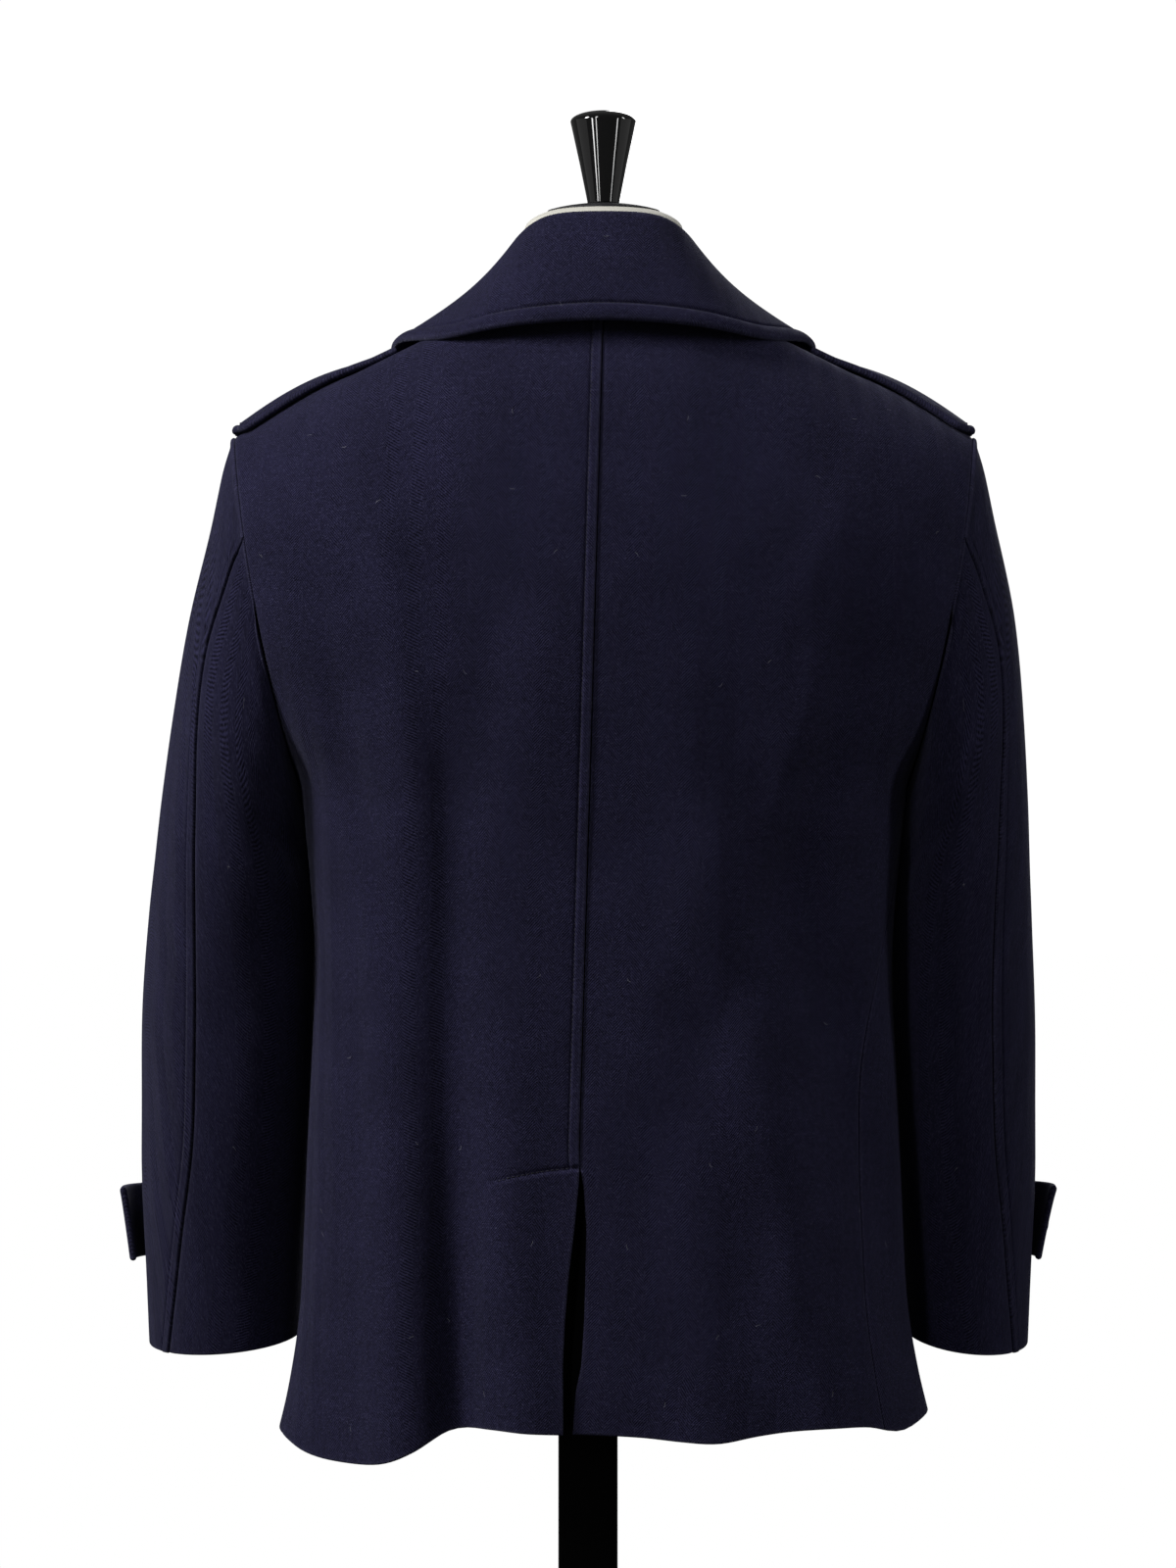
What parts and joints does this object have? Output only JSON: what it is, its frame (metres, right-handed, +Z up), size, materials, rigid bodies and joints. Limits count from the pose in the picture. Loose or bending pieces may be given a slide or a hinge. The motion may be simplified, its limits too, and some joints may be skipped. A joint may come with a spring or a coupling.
{
  "type": "pea coat on dress form stand",
  "caption": "Double-breasted wool pea coat with a wide collar, shoulder straps, cuff tabs and a back vent, standing on a limbless dress form with a post and a round base.",
  "frame": {"origin": "centre of the base plate's underside, on the floor", "axes": "+Z up; the coat's back faces +Y and its front faces -Y; the coat's left side is +X"},
  "size_m": [0.6442, 0.38, 1.578],
  "materials": {
    "wool": "felted navy wool in a herringbone twill",
    "button": "dark navy sew-through buttons",
    "form_cover": "ecru cotton cover",
    "lacquer": "black gloss lacquer",
    "stand": "flat black paint"
  },
  "bodies": {
    "root": {"back_left": "wool", "back_right": "wool", "front_left": "wool", "front_right": "wool", "lapel_left": "wool", "lapel_right": "wool", "collar": "wool", "shoulder_strap_left": "wool", "shoulder_strap_right": "wool", "top_sleeve_left": "wool", "under_sleeve_left": "wool", "top_sleeve_right": "wool", "under_sleeve_right": "wool", "cuff_tab_left": "wool", "cuff_tab_right": "wool", "cuff_button_left": "button", "cuff_button_right": "button", "front_button_1": "button", "front_button_2": "button", "front_button_3": "button", "front_button_4": "button", "front_button_5": "button", "front_button_6": "button", "form_torso": "form_cover", "neck_cap": "form_cover", "knob": "lacquer", "post": "stand", "base_plate": "stand"}
  },
  "joints": []
}
